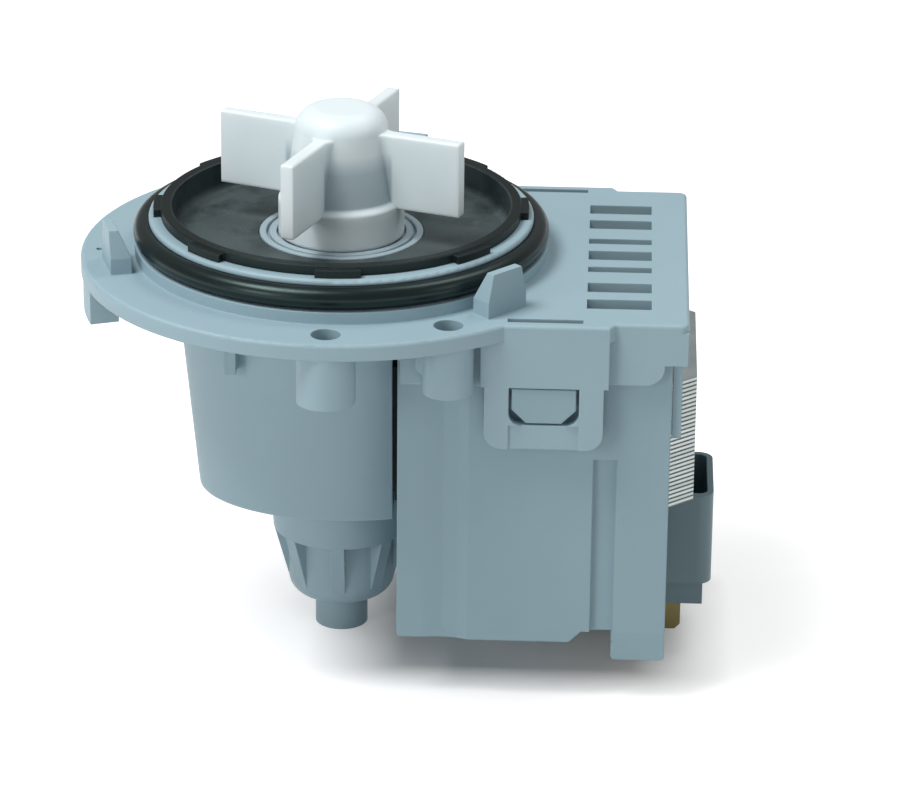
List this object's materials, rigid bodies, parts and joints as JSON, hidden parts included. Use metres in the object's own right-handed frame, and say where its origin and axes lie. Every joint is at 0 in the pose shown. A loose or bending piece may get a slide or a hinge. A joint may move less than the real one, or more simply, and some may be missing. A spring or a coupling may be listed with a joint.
{
  "type": "washer drain pump",
  "caption": "Washing machine drain pump without its volute: flanged motor housing, bladed impeller over a shallow chamber, magnet rotor and a boxed laminated stator.",
  "frame": {"origin": "where the rotor's axis meets the flange's seating face, at the centre of the screw pair flange_screws", "axes": "+Z along the rotor's axis, out of the chamber past the impeller; +X towards the stator; -Y towards the latch seen in the picture"},
  "size_m": [0.1109, 0.0902, 0.097],
  "materials": {
    "housing": "moulded matte blue-grey",
    "cover": "moulded matte blue-grey",
    "carrier": "moulded matte dark blue-grey",
    "insert": "satin black",
    "seal": "satin black",
    "impeller": "milky white, slightly translucent",
    "core": "cut sheet edges",
    "rivet": "plain",
    "bobbin": "natural",
    "winding": "enamelled copper wire",
    "tape": "thin yellow film",
    "fuse": "satin sleeve",
    "terminal": "dull brass",
    "bush": "fine-grained carbon",
    "shaft": "ground",
    "sleeve": "natural",
    "washer": "brown thrust material",
    "magnet": "dark grey ferrite",
    "dog": "dark moulded"
  },
  "bodies": {
    "pump_body": {"front_housing": "housing", "bearing_cover": "housing", "stator_cover": "cover", "terminal_carrier": "carrier", "chamber_insert": "insert", "flange_seal": "seal", "stator_core": "core", "core_rivets": "rivet", "bobbin_front": "bobbin", "bobbin_rear": "bobbin", "winding_front": "winding", "winding_rear": "winding", "coil_leads": "winding", "winding_tape_front": "tape", "winding_tape_rear": "tape", "thermal_fuse": "fuse", "terminal_front": "terminal", "terminal_rear": "terminal", "front_bush": "bush", "rear_bush": "bush", "front_bush_ring": "seal", "rear_bush_ring": "seal", "shaft_seal": "seal"},
    "rotor": {"rotor_shaft": "shaft", "rotor_sleeve": "sleeve", "rotor_magnet": "magnet", "end_ring_front": "sleeve", "end_ring_rear": "sleeve", "thrust_washer_front": "washer", "thrust_washer_rear": "washer", "drive_dog": "dog", "dog_damper": "seal", "dog_clip": "shaft"},
    "impeller": {"impeller": "impeller", "hub_cap": "impeller"}
  },
  "joints": [
    {"name": "rotor_spin", "type": "hinge", "parent": "pump_body", "child": "rotor", "pos_m": [0, 0, 0], "axis": [0, 0, 1], "continuous": true},
    {"name": "impeller_lag", "type": "hinge", "parent": "rotor", "child": "impeller", "pos_m": [0, 0, 0], "axis": [0, 0, 1], "range_deg": [-120, 120]}
  ]
}
